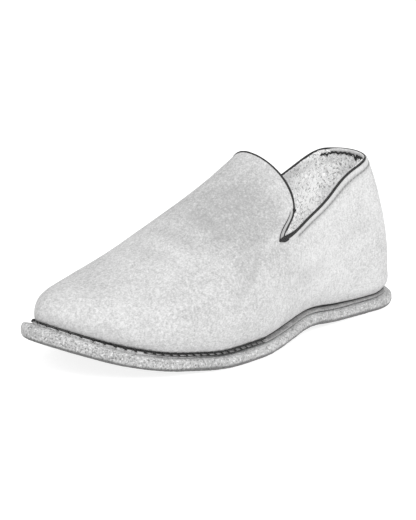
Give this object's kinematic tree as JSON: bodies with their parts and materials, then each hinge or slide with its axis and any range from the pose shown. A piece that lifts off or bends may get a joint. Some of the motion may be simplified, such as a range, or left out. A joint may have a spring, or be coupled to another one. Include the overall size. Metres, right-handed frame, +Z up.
{
  "type": "slip-on shoe",
  "caption": "Laceless suede slip-on shoe for the left foot: one-piece upper with a tall rounded tongue and V-notched collar, lasted on a thin midsole and a slab outsole with toe spring",
  "frame": {"origin": "bottom centre of the bounding box, on the floor under the shoe", "axes": "toe towards -Y, heel towards +Y, +X the lateral (little toe) side of the left shoe, +Z up"},
  "size_m": [0.0984, 0.29, 0.1045],
  "materials": {
    "upper": "light grey suede",
    "outsole": "mid grey speckled crepe rubber",
    "midsole": "darker grey edge",
    "insole": "pale fleece"
  },
  "bodies": {
    "root": {"upper": "upper", "outsole": "outsole", "midsole": "midsole", "insole": "insole"}
  },
  "joints": []
}
